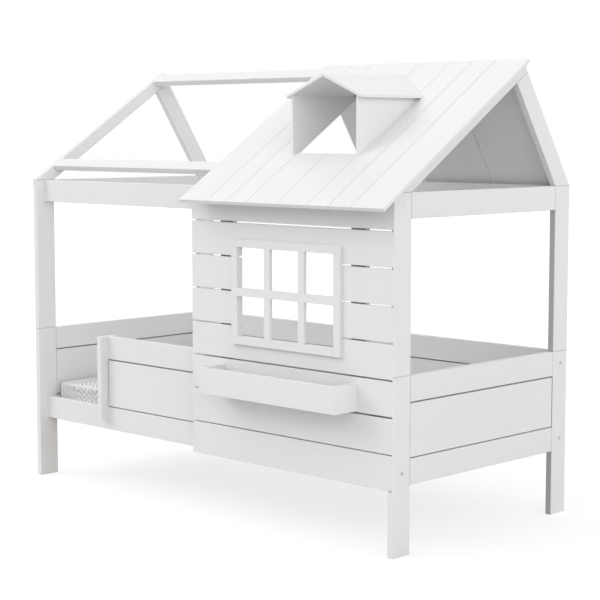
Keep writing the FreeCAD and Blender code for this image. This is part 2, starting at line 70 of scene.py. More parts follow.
camera_data = bpy.data.cameras.new("studio_camera")
camera_data.sensor_width = SENSOR_WIDTH
camera_data.lens = SENSOR_WIDTH * FOCAL_PIXELS / PHOTO_SIZE
camera_data.shift_x = (PHOTO_SIZE / 2 - VIEW_CENTRE[0]) / PHOTO_SIZE
camera_data.shift_y = (VIEW_CENTRE[1] - PHOTO_SIZE / 2) / PHOTO_SIZE
camera_data.clip_end = FAR_LIMIT
camera = bpy.data.objects.new("studio_camera", camera_data)
bpy.context.scene.collection.objects.link(camera)
backwards = Vector((math.sin(CAMERA_AZIMUTH) * math.cos(CAMERA_ELEVATION),
                    -math.cos(CAMERA_AZIMUTH) * math.cos(CAMERA_ELEVATION),
                    math.sin(CAMERA_ELEVATION)))
camera.location = CAMERA_PLACE
camera.rotation_mode = "QUATERNION"
camera.rotation_quaternion = (-backwards).to_track_quat("-Z", "Y")
bpy.context.scene.camera = camera
print("lens", round(camera_data.lens, 1), "mm, shift",
      round(camera_data.shift_x, 4), round(camera_data.shift_y, 4))

# %% [markdown]
# ## Soft studio light
# White furniture is photographed in a white room: even light comes from every side, and large
# lamps behind cloth stand round the bed. Here all of them are painted on the sky. Each soft light
# is a direction from which the sky's brightness fades away, so its shadows have no hard edge, and
# the undersides and the inside of the roof turn grey by themselves. Broad lights stand to the
# right, in front and behind. One narrower light at the front left is the key: it lays the soft
# shadows to the right of the flower box and of the dormer. The levels are kept where a paint
# colour renders about as it is written.

# %% World and its soft lights
scene = bpy.context.scene
scene.view_settings.view_transform = "Standard"
PURE_WHITE = (1.0, 1.0, 1.0, 1.0)
ROOM_LEVEL = 0.50           # even light from everywhere
SOFT, NARROW = 8.0, 60.0    # how fast a light fades away from its middle
SOFT_LIGHTS = {             # degrees round from the front towards the right, up, level, narrowness
    "right": (90.0, 15.0, 2.40, SOFT),
    "front_right": (45.0, 15.0, 2.68, SOFT),
    "high_front_left": (315.0, 50.0, 2.50, SOFT),
    "key_front_left": (315.0, 28.0, 6.50, NARROW),
    "high_rear_left": (225.0, 50.0, 0.85, SOFT),
    "behind": (180.0, 15.0, 1.25, SOFT),
}


def link(tree, source, target):
    """Join two sockets, written in the order in which the value flows."""
    tree.links.new(source, target)


def math_node(tree, operation, first, second=None):
    """One step of arithmetic on numbers or sockets."""
    node = tree.nodes.new("ShaderNodeMath")
    node.operation = operation
    for value, socket in ((first, node.inputs[0]), (second, node.inputs[1])):
        if value is None:
            continue
        if isinstance(value, (int, float)):
            socket.default_value = value
        else:
            link(tree, value, socket)
    return node.outputs[0]


def along(tree, vector, direction):
    """How far a vector reaches in a direction."""
    node = tree.nodes.new("ShaderNodeVectorMath")
    node.operation = "DOT_PRODUCT"
    node.inputs[1].default_value = direction
    link(tree, vector, node.inputs[0])
    return node.outputs["Value"]


def looked_at(tree):
    """1 for a ray that the eye follows, straight, reflected or through glass, and else 0."""
    path = tree.nodes.new("ShaderNodeLightPath")
    seen = math_node(tree, "MAXIMUM", path.outputs["Is Camera Ray"], path.outputs["Is Glossy Ray"])
    return math_node(tree, "MAXIMUM", seen, path.outputs["Is Transmission Ray"])


def studio_world():
    world = bpy.data.worlds.new("studio_room")
    world.use_nodes = True
    tree = world.node_tree
    tree.nodes.clear()
    ray = tree.nodes.new("ShaderNodeTexCoord").outputs["Generated"]
    level = ROOM_LEVEL
    for azimuth, elevation, strength, narrowness in SOFT_LIGHTS.values():
        turn, up = math.radians(azimuth), math.radians(elevation)
        towards = (math.sin(turn) * math.cos(up), -math.cos(turn) * math.cos(up), math.sin(up))
        facing = math_node(tree, "MAXIMUM", along(tree, ray, towards), 0.0)
        lobe = math_node(tree, "MULTIPLY", math_node(tree, "POWER", facing, narrowness), strength)
        level = math_node(tree, "ADD", lobe, level)
    lighting, seen = (tree.nodes.new("ShaderNodeBackground") for _ in range(2))
    link(tree, level, lighting.inputs["Strength"])
    seen.inputs["Color"].default_value = PURE_WHITE
    seen.inputs["Strength"].default_value = 1.0
    mix = tree.nodes.new("ShaderNodeMixShader")
    link(tree, looked_at(tree), mix.inputs["Fac"])
    link(tree, lighting.outputs[0], mix.inputs[1])
    link(tree, seen.outputs[0], mix.inputs[2])
    output = tree.nodes.new("ShaderNodeOutputWorld")
    link(tree, mix.outputs[0], output.inputs["Surface"])
    return world


scene.world = studio_world()
print("room", ROOM_LEVEL, "soft lights:", sorted(SOFT_LIGHTS))

# %% [markdown]
# ## The floor
# The floor is a plain pale sheet. It sends light back up like matt paper, and to the eye it is
# lifted nearly to white, so that the bed's soft shadow is all that shows of it.

# %% Floor
FLOOR_HALF = 30.0                       # from the middle to a side, in metres
FLOOR_LIT = 0.54                        # paleness towards the light
FLOOR_SEEN, FLOOR_GLOW = 0.28, 0.75     # paleness and lift towards the eye


def studio_floor():
    mesh = bpy.data.meshes.new("studio_floor")
    corners = [(FLOOR_HALF * x, FLOOR_HALF * y, 0.0)
               for x, y in ((-1, -1), (1, -1), (1, 1), (-1, 1))]
    mesh.from_pydata(corners, [], [(0, 1, 2, 3)])
    material = bpy.data.materials.new("studio_floor")
    material.use_nodes = True
    tree = material.node_tree
    tree.nodes.clear()
    seen = looked_at(tree)
    shade = tree.nodes.new("ShaderNodeMix")
    shade.data_type = "RGBA"
    shade.inputs["A"].default_value = (FLOOR_LIT, FLOOR_LIT, FLOOR_LIT, 1)
    shade.inputs["B"].default_value = (FLOOR_SEEN, FLOOR_SEEN, FLOOR_SEEN, 1)
    link(tree, seen, shade.inputs["Factor"])
    matt = tree.nodes.new("ShaderNodeBsdfDiffuse")
    link(tree, shade.outputs["Result"], matt.inputs["Color"])
    glow = tree.nodes.new("ShaderNodeEmission")
    link(tree, math_node(tree, "MULTIPLY", seen, FLOOR_GLOW), glow.inputs["Strength"])
    both = tree.nodes.new("ShaderNodeAddShader")
    link(tree, matt.outputs[0], both.inputs[0])
    link(tree, glow.outputs[0], both.inputs[1])
    output = tree.nodes.new("ShaderNodeOutputMaterial")
    link(tree, both.outputs[0], output.inputs["Surface"])
    mesh.materials.append(material)
    floor = bpy.data.objects.new("studio_floor", mesh)
    scene.collection.objects.link(floor)
    return floor


studio_floor()
print("floor seen", FLOOR_SEEN, "lifted by", FLOOR_GLOW)

# %% [markdown]
# ## White satin paint
# The boards are sanded smooth and sprayed in satin white. Close up such paint isn't perfectly flat:
# it keeps a fine orange-peel skin, and a trace of the grain below runs along the board. So the
# paint needs to know which way each board runs. One function makes the paint for any direction: it
# turns the pattern's own X axis along the board and stretches noise along it. The relief is a
# twentieth to a tenth of a millimetre, and the roughness wanders a little with the grain.
#
# The same function also paints shade into the colour close to a plane, for the shade at the bottom
# of a groove and in the crack between two boards: the mid-plane of a panel's tongue, the face of
# the battens behind the front's open joints, and the planes in which posts and rafters meet.

# %% Paint
WHITE_PAINT = (0.716, 0.716, 0.714, 1.0)
WHITE_SHADE = (0.704, 0.704, 0.702, 1.0)
ROOF_PITCH = math.radians(33.0)
BOARD_DIRECTIONS = {
    "along_bed": (0.0, 0.0, 0.0),
    "across_bed": (0.0, 0.0, math.radians(90)),
    "upright": (0.0, math.radians(90), 0.0),
    "up_front_slope": (0.0, 0.0, math.radians(90)),
    "up_rear_slope": (0.0, 0.0, math.radians(90)),
}
# painted shade: dark greys that stand in for shade in grooves, behind joints and where pieces meet
DEEP_PAINTED_SHADE, FAINT_PAINTED_SHADE = (0.26, 0.26, 0.26, 1.0), (0.42, 0.42, 0.42, 1.0)
# painted shade along a plane: full within the first distance of it, gone at the second, its colour
GROOVE_PAINTED_SHADE = (0.0035, 0.0090, DEEP_PAINTED_SHADE)
PAINTED_SHADE_BEHIND_JOINTS = (0.0006, 0.0020, DEEP_PAINTED_SHADE)
SEAM_PAINTED_SHADE = (0.0007, 0.0017, FAINT_PAINTED_SHADE)
GRAIN_RELIEF, PEEL_RELIEF = 0.00010, 0.00005


def new_material(name):
    """An empty node material and the two nodes that every finish here starts from."""
    material = bpy.data.materials.new(name)
    material.use_nodes = True
    tree = material.node_tree
    shader = tree.nodes["Principled BSDF"]
    place = tree.nodes.new("ShaderNodeTexCoord")
    return material, tree, shader, place.outputs["Object"]


def grain_axes(tree, place, direction):
    """Turn the object's own coordinates so that X runs along the board."""
    turned = place
    slope = {"up_front_slope": -ROOF_PITCH, "up_rear_slope": math.radians(90) - ROOF_PITCH}
    if direction in slope:
        lay_flat = tree.nodes.new("ShaderNodeMapping")
        lay_flat.inputs["Rotation"].default_value = (slope[direction], 0.0, 0.0)
        link(tree, turned, lay_flat.inputs["Vector"])
        turned = lay_flat.outputs["Vector"]
    lengthwise = tree.nodes.new("ShaderNodeMapping")
    lengthwise.inputs["Rotation"].default_value = BOARD_DIRECTIONS[direction]
    link(tree, turned, lengthwise.inputs["Vector"])
    return lengthwise.outputs["Vector"]


def noise(tree, vector, scale, stretch=(1, 1, 1), detail=3.0, roughness=0.5):
    """Noise with its own stretch, so that streaks can run along one axis."""
    sized = tree.nodes.new("ShaderNodeMapping")
    sized.inputs["Scale"].default_value = stretch
    texture = tree.nodes.new("ShaderNodeTexNoise")
    texture.inputs["Scale"].default_value = scale
    texture.inputs["Detail"].default_value = detail
    texture.inputs["Roughness"].default_value = roughness
    link(tree, vector, sized.inputs["Vector"])
    link(tree, sized.outputs["Vector"], texture.inputs["Vector"])
    return texture.outputs["Fac"]


def ranged(tree, value, low, high, start=0.0, end=1.0):
    """Map a value from start..end to low..high."""
    node = tree.nodes.new("ShaderNodeMapRange")
    node.inputs["From Min"].default_value = start
    node.inputs["From Max"].default_value = end
    node.inputs["To Min"].default_value = low
    node.inputs["To Max"].default_value = high
    link(tree, value, node.inputs["Value"])
    return node.outputs["Result"]


def mixed(tree, factor, first, second):
    """A colour between two colours or colour sockets."""
    node = tree.nodes.new("ShaderNodeMix")
    node.data_type = "RGBA"
    link(tree, factor, node.inputs["Factor"])
    for colour, socket in ((first, node.inputs["A"]), (second, node.inputs["B"])):
        if isinstance(colour, tuple):
            socket.default_value = colour
        else:
            link(tree, colour, socket)
    return node.outputs["Result"]


def bumped(tree, height, distance, strength=1.0, under=None):
    """Relief of a given height in metres, laid over another relief if there is one."""
    node = tree.nodes.new("ShaderNodeBump")
    node.inputs["Distance"].default_value = distance
    node.inputs["Strength"].default_value = strength
    link(tree, height, node.inputs["Height"])
    if under is not None:
        link(tree, under, node.inputs["Normal"])
    return node.outputs["Normal"]


def near_plane(tree, place, point, normal, full, gone):
    """1 close to a plane, fading to 0."""
    level = Vector(point).dot(Vector(normal))
    distance = math_node(tree, "ABSOLUTE",
                         math_node(tree, "SUBTRACT", along(tree, place, normal), level))
    return ranged(tree, distance, 1.0, 0.0, full, gone)


def white_paint(name, direction, lines=()):
    """Satin white for one board direction; each line of painted shade: a point, normal and kind."""
    material, tree, shader, place = new_material("white_paint_" + name)
    board = grain_axes(tree, place, direction)
    cloud = noise(tree, board, 2.2, (0.6, 3.0, 3.0), detail=2.0)
    streak = noise(tree, board, 14.0, (0.25, 9.0, 9.0), detail=4.0, roughness=0.6)
    peel = noise(tree, board, 420.0, detail=1.0)
    colour = mixed(tree, ranged(tree, cloud, 0.0, 1.0, 0.35, 0.65), WHITE_PAINT, WHITE_SHADE)
    # shade is painted into the colour near each plane
    for point, normal, (full, gone, shade) in lines:
        colour = mixed(tree, near_plane(tree, place, point, normal, full, gone), colour, shade)
    link(tree, colour, shader.inputs["Base Color"])
    link(tree, ranged(tree, streak, 0.36, 0.48), shader.inputs["Roughness"])
    grain = bumped(tree, streak, GRAIN_RELIEF, 0.25)
    link(tree, bumped(tree, peel, PEEL_RELIEF, 0.4, under=grain), shader.inputs["Normal"])
    shader.inputs["IOR"].default_value = 1.47
    shader.inputs["Coat Weight"].default_value = 0.12
    shader.inputs["Coat Roughness"].default_value = 0.22
    return material


paints = {direction: white_paint(direction, direction) for direction in BOARD_DIRECTIONS}
print("plain paints:", sorted(paints))

# %% [markdown]
# ## Paint for the pieces that meet in a line
# The planes of the painted shade lines come from the pieces' own boxes: the tops of the legs and
# posts, the ends of the rails between them, the middle of each rail for the panels let into it, and
# the front of the battens.

# %% Paint with shadow lines
X_AXIS, Y_AXIS, Z_AXIS = (1.0, 0.0, 0.0), (0.0, 1.0, 0.0), (0.0, 0.0, 1.0)
UNDER_SLOPE = (0.0, math.sin(ROOF_PITCH), -math.cos(ROOF_PITCH))
TENON = 0.020               # the rails' boxes include a tenon at each end
leg_low, leg_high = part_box("leg_front_left")
post_low, post_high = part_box("post_front_left")
end_rail_low, end_rail_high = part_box("left_end_bottom_rail")
rail_ends = [((0.0, end_rail_low.y + TENON, 0.0), Y_AXIS, SEAM_PAINTED_SHADE),
             ((0.0, end_rail_high.y - TENON, 0.0), Y_AXIS, SEAM_PAINTED_SHADE)]
post_ends = [((0.0, 0.0, leg_high.z), Z_AXIS, SEAM_PAINTED_SHADE), ((0.0, 0.0, post_high.z), Z_AXIS, SEAM_PAINTED_SHADE)]
rafter_depth = (post_high.y - post_low.y) * math.sin(ROOF_PITCH)
rafter_foot = Vector((0.0, post_low.y, post_high.z))
rafter_shade_lines = [post_ends[1],
                (rafter_foot + Vector(UNDER_SLOPE) * rafter_depth, UNDER_SLOPE, SEAM_PAINTED_SHADE)]


def middle(name):
    low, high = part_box(name)
    return (low + high) / 2


# pieces whose paint gets lines of painted shade, and the planes of those lines
SHADE_LINED_PAINTS = {
    "posts": ("upright", post_ends + rail_ends),
    "end_rails": ("across_bed", rail_ends),
    "end_panels": ("across_bed", [(middle(side + "_end_panel"), X_AXIS, GROOVE_PAINTED_SHADE)
                                  for side in ("left", "right")]),
    "long_panels": ("along_bed", [(middle(name), Y_AXIS, GROOVE_PAINTED_SHADE)
                                  for name in ("guard_panel", "rear_panel")]),
    "battens": ("upright", [(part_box("facade_battens")[0], Y_AXIS, PAINTED_SHADE_BEHIND_JOINTS)]),
    "front_rafters": ("up_front_slope", rafter_shade_lines),
    "rear_rafters": ("up_rear_slope", rafter_shade_lines),
}
paints.update({name: white_paint(name, direction, lines)
               for name, (direction, lines) in SHADE_LINED_PAINTS.items()})
print("lined paints:", sorted(SHADE_LINED_PAINTS))

# %% [markdown]
# ## Which board runs which way
# A piece's longest side is nearly always its grain direction, so the choice can be made from its
# name and its box. Only the roof pieces lie at an angle to the axes: the rafters and roof boards
# run up their slopes. The dormer's walls are cut from upright boards.

# %% Paint the boards
PAINT_BY_NAME = {           # how a name starts, the paint it takes
    "leg_": "posts", "post_": "posts", "guard_post": "upright",
    "left_end_panel": "end_panels", "right_end_panel": "end_panels",
    "left_end_": "end_rails", "right_end_": "end_rails",
    "guard_panel": "long_panels", "rear_panel": "long_panels",
    "facade_board": "along_bed", "facade_battens": "battens",
    "rafter_front": "front_rafters", "rafter_rear": "rear_rafters",
    "roof_boards_front": "up_front_slope", "roof_boards_rear": "up_rear_slope",
    "dormer_cheek": "upright", "dormer_roof": "across_bed",
}
UNPAINTED = ("slats", "slat_ledgers", "connector_bolts", "barrel_nuts", "dowels", "mattress")


def paint_for(name):
    for start, paint in PAINT_BY_NAME.items():
        if name.startswith(start):
            return paint
    low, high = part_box(name)
    size = high - low
    return ("along_bed", "across_bed", "upright")[list(size).index(max(size))]


def finish_with(piece, material):
    """Give a piece one material, whatever slots it came with."""
    piece.data.materials.clear()
    piece.data.materials.append(material)


counts = {}
for name, node in nodes.items():
    if name in UNPAINTED:
        continue
    paint = paint_for(name)
    finish_with(node, paints[paint])
    counts[paint] = counts.get(paint, 0) + 1
print("painted:", counts)

# %% [markdown]
# ## Bare pine and beech
# The slats and the ledgers that carry them are never seen once the bed is made, so they stay bare
# pine, planed and pale. Pine shows its growth rings as long bands, darker and narrower where the
# summer wood is. A wave texture stretched along the slat and bent by noise gives such bands. The
# dowels are the same idea in beech, which has short flecks in place of bands.

# %% Bare wood
PINE_PALE, PINE_WARM = (0.70, 0.49, 0.27, 1.0), (0.78, 0.58, 0.35, 1.0)
PINE_RING, PINE_FLECK = (0.55, 0.33, 0.15, 1.0), (0.84, 0.66, 0.44, 1.0)
BEECH_PALE, BEECH_FLECK = (0.68, 0.44, 0.25, 1.0), (0.50, 0.28, 0.13, 1.0)
PINE_RELIEF, BEECH_RELIEF = 0.0003, 0.0002
RINGS_DRAWN_OUT = 0.12      # the rings' size along the board against across it


def pine(name, direction):
    material, tree, shader, place = new_material(name)
    board = grain_axes(tree, place, direction)
    sway = noise(tree, board, 1.6, (0.5, 3.0, 3.0), detail=2.0)
    squeezed = tree.nodes.new("ShaderNodeMapping")
    squeezed.inputs["Scale"].default_value = (RINGS_DRAWN_OUT, 1.0, 1.0)
    link(tree, board, squeezed.inputs["Vector"])
    rings = tree.nodes.new("ShaderNodeTexWave")
    rings.wave_type = "RINGS"
    rings.rings_direction = "X"
    rings.inputs["Scale"].default_value = 24.0
    rings.inputs["Distortion"].default_value = 5.0
    rings.inputs["Detail"].default_value = 2.5
    rings.inputs["Detail Scale"].default_value = 1.4
    link(tree, squeezed.outputs["Vector"], rings.inputs["Vector"])
    bands = ranged(tree, rings.outputs["Fac"], 0.0, 1.0, 0.25, 0.95)
    pale = mixed(tree, sway, PINE_PALE, PINE_WARM)
    wood = mixed(tree, bands, pale, PINE_RING)
    fibre = noise(tree, board, 60.0, (0.15, 6.0, 6.0), detail=4.0, roughness=0.65)
    flecked = mixed(tree, ranged(tree, fibre, 0.0, 0.35), wood, PINE_FLECK)
    link(tree, flecked, shader.inputs["Base Color"])
    link(tree, ranged(tree, fibre, 0.5, 0.68), shader.inputs["Roughness"])
    link(tree, bumped(tree, fibre, PINE_RELIEF, 0.5), shader.inputs["Normal"])
    return material


def beech():
    material, tree, shader, place = new_material("bare_beech")
    fleck = noise(tree, place, 180.0, (1.0, 1.0, 0.25), detail=3.0)
    colour = mixed(tree, ranged(tree, fleck, 0.0, 1.0, 0.4, 0.62), BEECH_PALE, BEECH_FLECK)
    link(tree, colour, shader.inputs["Base Color"])
    link(tree, bumped(tree, fleck, BEECH_RELIEF, 0.4), shader.inputs["Normal"])
    shader.inputs["Roughness"].default_value = 0.6
    return material


finish_with(nodes["slats"], pine("bare_pine_slats", "across_bed"))
finish_with(nodes["slat_ledgers"], pine("bare_pine_ledgers", "along_bed"))
finish_with(nodes["dowels"], beech())
print("bare wood on the slats, their ledgers and the dowels")

# %% [markdown]
# ## Zinc-plated steel
# The bed comes flat and goes together with connector bolts that pass through the posts into barrel
# nuts in the rails. Zinc plating is a bright grey with a cloudy, slightly mottled sheen, so its
# roughness varies more than its colour.

# %% Steel
ZINC_BRIGHT, ZINC_CLOUD = (0.62, 0.62, 0.63, 1.0), (0.48, 0.48, 0.50, 1.0)
ZINC_RELIEF = 0.00008


def zinc():
    material, tree, shader, place = new_material("zinc_plated_steel")
    cloud = noise(tree, place, 260.0, detail=3.0)
    link(tree, mixed(tree, cloud, ZINC_BRIGHT, ZINC_CLOUD), shader.inputs["Base Color"])
    link(tree, ranged(tree, cloud, 0.24, 0.44), shader.inputs["Roughness"])
    link(tree, bumped(tree, cloud, ZINC_RELIEF, 0.4), shader.inputs["Normal"])
    shader.inputs["Metallic"].default_value = 1.0
    return material


steel = zinc()
finish_with(nodes["barrel_nuts"], steel)
print("steel on the barrel nuts")

# %% [markdown]
# ## What repeats: bolt heads and screws
# Ten equal bolts hold the bed together, and each batten is screwed to the boards of the front. One
# bolt drawn well and placed ten times is what Geometry Nodes are for: the shape is built from
# simple solids with named sizes, put on a list of points, turned the way each point says, and made
# real at the end.

# %% Trees with named sizes
def new_tree(name, sizes):
    """A Geometry Nodes tree: its inputs and output, and the identifier of each named input."""
    tree = bpy.data.node_groups.new(name, "GeometryNodeTree")
    face = tree.interface
    face.new_socket("Points", in_out="INPUT", socket_type="NodeSocketGeometry")
    kinds = {size: "NodeSocketFloat" for size in sizes}
    kinds["Finish"] = "NodeSocketMaterial"
    identifiers = {label: face.new_socket(label, in_out="INPUT", socket_type=kind).identifier
                   for label, kind in kinds.items()}
    face.new_socket("Pieces", in_out="OUTPUT", socket_type="NodeSocketGeometry")
    return tree, tree.nodes.new("NodeGroupInput").outputs, identifiers


def feed(tree, node, **values):
    """Fill a node's inputs by name with numbers or sockets, and give the node back."""
    for label, value in values.items():
        socket = node.inputs[label.replace("_", " ")]
        if isinstance(value, bpy.types.NodeSocket):
            link(tree, value, socket)
        else:
            socket.default_value = value
    return node


def rod(tree, radius, length, centre, sides):
    """A round or many-sided rod along Z, its middle at the given height."""
    solid = feed(tree, tree.nodes.new("GeometryNodeMeshCylinder"), Radius=radius, Depth=length,
                 Vertices=sides)
    return moved(tree, solid.outputs["Mesh"], centre)


def moved(tree, shape, height):
    place = tree.nodes.new("ShaderNodeCombineXYZ")
    feed(tree, place, Z=height)
    shift = tree.nodes.new("GeometryNodeTransform")
    link(tree, shape, shift.inputs["Geometry"])
    link(tree, place.outputs["Vector"], shift.inputs["Translation"])
    return shift.outputs["Geometry"]


def combined(tree, operation, first, second):
    """Two solids joined, or the second cut out of the first."""
    node = tree.nodes.new("GeometryNodeMeshBoolean")
    node.operation, node.solver = operation, "EXACT"
    if operation == "DIFFERENCE":
        link(tree, first, node.inputs["Mesh 1"])
        link(tree, second, node.inputs["Mesh 2"])
    else:
        link(tree, first, node.inputs["Mesh 2"])
        link(tree, second, node.inputs["Mesh 2"])
    return node.outputs["Mesh"]


def placed(tree, inputs, shape):
    """Put the shape on every point, its Z axis the way the point says, and make it real."""
    way = tree.nodes.new("GeometryNodeInputNamedAttribute")
    way.data_type = "FLOAT_VECTOR"
    way.inputs["Name"].default_value = "way"
    turn = tree.nodes.new("FunctionNodeAlignRotationToVector")
    turn.axis = "Z"
    link(tree, way.outputs["Attribute"], turn.inputs["Vector"])
    copies = tree.nodes.new("GeometryNodeInstanceOnPoints")
    link(tree, inputs["Points"], copies.inputs["Points"])
    link(tree, shape, copies.inputs["Instance"])
    link(tree, turn.outputs["Rotation"], copies.inputs["Rotation"])
    real = tree.nodes.new("GeometryNodeRealizeInstances")
    link(tree, copies.outputs["Instances"], real.inputs["Geometry"])
    finish = tree.nodes.new("GeometryNodeSetMaterial")
    link(tree, real.outputs["Geometry"], finish.inputs["Geometry"])
    link(tree, inputs["Finish"], finish.inputs["Material"])
    link(tree, finish.outputs["Geometry"], tree.nodes.new("NodeGroupOutput").inputs["Pieces"])


def apply_modifiers(piece):
    """Keep what the modifiers make as the piece's own mesh, and remove them."""
    graph = bpy.context.evaluated_depsgraph_get()
    result = bpy.data.meshes.new_from_object(piece.evaluated_get(graph))
    piece.modifiers.clear()
    piece.data = result


def repeated(name, tree, identifiers, places, ways, sizes, finish):
    """Run a tree over a list of places and keep the plain mesh."""
    mesh = bpy.data.meshes.new(name)
    mesh.from_pydata(places, [], [])
    mesh.attributes.new("way", "FLOAT_VECTOR", "POINT").data.foreach_set(
        "vector", [number for way in ways for number in way])
    piece = bpy.data.objects.new(name, mesh)
    scene.collection.objects.link(piece)
    modifier = piece.modifiers.new("repeat", "NODES")
    modifier.node_group = tree
    for label, value in sizes.items():
        modifier[identifiers[label]] = value
    modifier[identifiers["Finish"]] = finish
    apply_modifiers(piece)
    print(name, len(places), "times,", len(piece.data.polygons), "faces")
    return piece


print("helpers for repeated pieces ready")

# %% [markdown]
# ## Connector bolts
# Each bolt has a low bevelled head with a hexagon socket, outside on the post, and a shank that
# reaches the barrel nut in the rail. The six at the sides' rails are plain zinc. The four up at the
# beams have white lacquered heads. A bolt sits on the post's outer face at the middle of the rail
# or beam that it holds.

# %% Bolts
BOLT_SIZES = {"Head radius": 0.0075, "Top radius": 0.0060, "Head height": 0.0022,
              "Socket radius": 0.0026, "Socket depth": 0.0016,
              "Shank radius": 0.0030, "Shank length": 0.0680}
BOLT_SIDES, SHANK_SIDES, HEXAGON = 32, 16, 6


def bolt_tree():
    tree, inputs, identifiers = new_tree("connector_bolt", BOLT_SIZES)
    head = feed(tree, tree.nodes.new("GeometryNodeMeshCone"), Vertices=BOLT_SIDES,
                Radius_Bottom=inputs["Head radius"], Radius_Top=inputs["Top radius"],
                Depth=inputs["Head height"])
    half_way = math_node(tree, "MULTIPLY", inputs["Shank length"], -0.5)
    shank = rod(tree, inputs["Shank radius"], inputs["Shank length"], half_way, SHANK_SIDES)
    depth = math_node(tree, "MULTIPLY", inputs["Socket depth"], 2.0)
    socket = rod(tree, inputs["Socket radius"], depth, inputs["Head height"], HEXAGON)
    bolt = combined(tree, "UNION", head.outputs["Mesh"], shank)
    placed(tree, inputs, combined(tree, "DIFFERENCE", bolt, socket))
    return tree, identifiers


def bolt_places(rails):
    """A place and a direction at both ends of each rail, on the posts' outer faces."""
    places, ways = [], []
    for rail in rails:
        centre = middle(rail)
        for x, way in ((leg_low.x, -1.0), (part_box("leg_rear_right")[1].x, 1.0)):
            places.append((x, centre.y, centre.z))
            ways.append((way, 0.0, 0.0))
    return places, ways


bolt, bolt_sockets = bolt_tree()
low_bolts = repeated("rail_bolts", bolt, bolt_sockets,
                     *bolt_places(("front_side_rail", "rear_side_rail", "rear_top_rail")),
                     BOLT_SIZES, steel)
high_bolts = repeated("beam_bolts", bolt, bolt_sockets,
                      *bolt_places(("front_top_beam", "rear_top_beam")),
                      BOLT_SIZES, paints["across_bed"])
for piece, slot in ((low_bolts, "steel"), (high_bolts, "white_wood")):
    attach(piece, "frame")
    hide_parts("connector_bolts")

# %% [markdown]
# ## Screws in the battens
# From inside the bed the two battens behind the boarded front show above the guard, and each board
# is held by two countersunk screws through each batten. The head is a shallow cone with a cross
# cut into it, let in flush, as a carpenter sets it.

# %% Batten screws
SCREW_SIZES = {"Head radius": 0.0040, "Root radius": 0.0020, "Head height": 0.0026,
               "Cross length": 0.0046, "Cross width": 0.0011, "Cross depth": 0.0016}
SCREW_INSET = 0.030         # from a board's edges
SCREW_SUNK = 0.0022         # the head stands this little short of its own height in the wood
SCREW_SIDES = 24
BATTEN_WIDTH = 0.071
ACROSS_BATTEN = (-0.018, 0.018)         # the lower and the upper screw, from the batten's middle


def screw_tree():
    tree, inputs, identifiers = new_tree("countersunk_screw", SCREW_SIZES)
    head = feed(tree, tree.nodes.new("GeometryNodeMeshCone"), Vertices=SCREW_SIDES,
                Radius_Bottom=inputs["Root radius"], Radius_Top=inputs["Head radius"],
                Depth=inputs["Head height"])
    shape = head.outputs["Mesh"]
    deep = math_node(tree, "MULTIPLY", inputs["Cross depth"], 2.0)
    for long_way, short_way in (("X", "Y"), ("Y", "X")):
        extent = tree.nodes.new("ShaderNodeCombineXYZ")
        link(tree, inputs["Cross length"], extent.inputs[long_way])
        link(tree, inputs["Cross width"], extent.inputs[short_way])
        link(tree, deep, extent.inputs["Z"])
        bar = tree.nodes.new("GeometryNodeMeshCube")
        link(tree, extent.outputs["Vector"], bar.inputs["Size"])
        shape = combined(tree, "DIFFERENCE", shape,
                         moved(tree, bar.outputs["Mesh"], inputs["Head height"]))
    placed(tree, inputs, shape)
    return tree, identifiers


batten_low, batten_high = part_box("facade_battens")
screw_places = []
for board in sorted(name for name in nodes if name.startswith("facade_board")):
    board_low, board_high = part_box(board)
    if board_low.z < leg_high.z:
        continue
    for batten_middle in (batten_low.x + BATTEN_WIDTH / 2, batten_high.x - BATTEN_WIDTH / 2):
        for side, z in zip(ACROSS_BATTEN, (board_low.z + SCREW_INSET, board_high.z - SCREW_INSET)):
            screw_places.append((batten_middle + side, batten_high.y - SCREW_SUNK, z))
screw, screw_sockets = screw_tree()
screws = repeated("batten_screws", screw, screw_sockets, screw_places,
                  [(0.0, 1.0, 0.0)] * len(screw_places), SCREW_SIZES, steel)
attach(screws, "frame")

# %% [markdown]
# ## The mattress under its fitted sheet
# A foam mattress is a block with rolled edges and a sheet pulled tight round it. Its edges keep
# their line, because the foam holds them, while the broad faces swell a little where the cover
# presses them least. So the block is drawn as a net of squares, close together near the edges and
# wider between them, with its faces drawn in by a few millimetres, and its top a little above the
# bare foam, as a sheet and its cover are. Cloth simulation with an inner pressure then swells it.
# Each point may travel only a short way, and less the nearer it is to an edge.

# %% Foam block
EDGE_ROUND = 0.014          # rolled edges of the foam
SQUARE = 0.020              # squares of the cloth's net
DRAWN_IN = 0.0035           # faces before they swell, at their middles
CROWN, CROWN_RUN = 0.004, 0.060         # the top rises by this over this width
SHEET_RISE = 0.006          # the sheet stands this far above the bare foam
FINE_STEPS = (0.0, 0.2, 0.45, 0.7, 1.0)
foam_low, foam_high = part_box("mattress")


def stations(low, high):
    """Places along one side: close together round the two edges, evenly spaced between."""
    inner = high - low - 2 * EDGE_ROUND
    count = max(1, round(inner / SQUARE))
    between = [low + EDGE_ROUND + inner * i / count for i in range(1, count)]
    return ([low + EDGE_ROUND * t for t in FINE_STEPS] + between +
            [high - EDGE_ROUND * t for t in reversed(FINE_STEPS)])


def smooth_step(value):
    value = min(max(value, 0.0), 1.0)
    return value * value * (3 - 2 * value)


def rounded(spot, low, high):
    """Move a point of a block's skin onto its rounded edge."""
    core = Vector(min(max(c, l + EDGE_ROUND), h - EDGE_ROUND) for c, l, h in zip(spot, low, high))
    out = spot - core
    return core + out * (EDGE_ROUND / out.length)


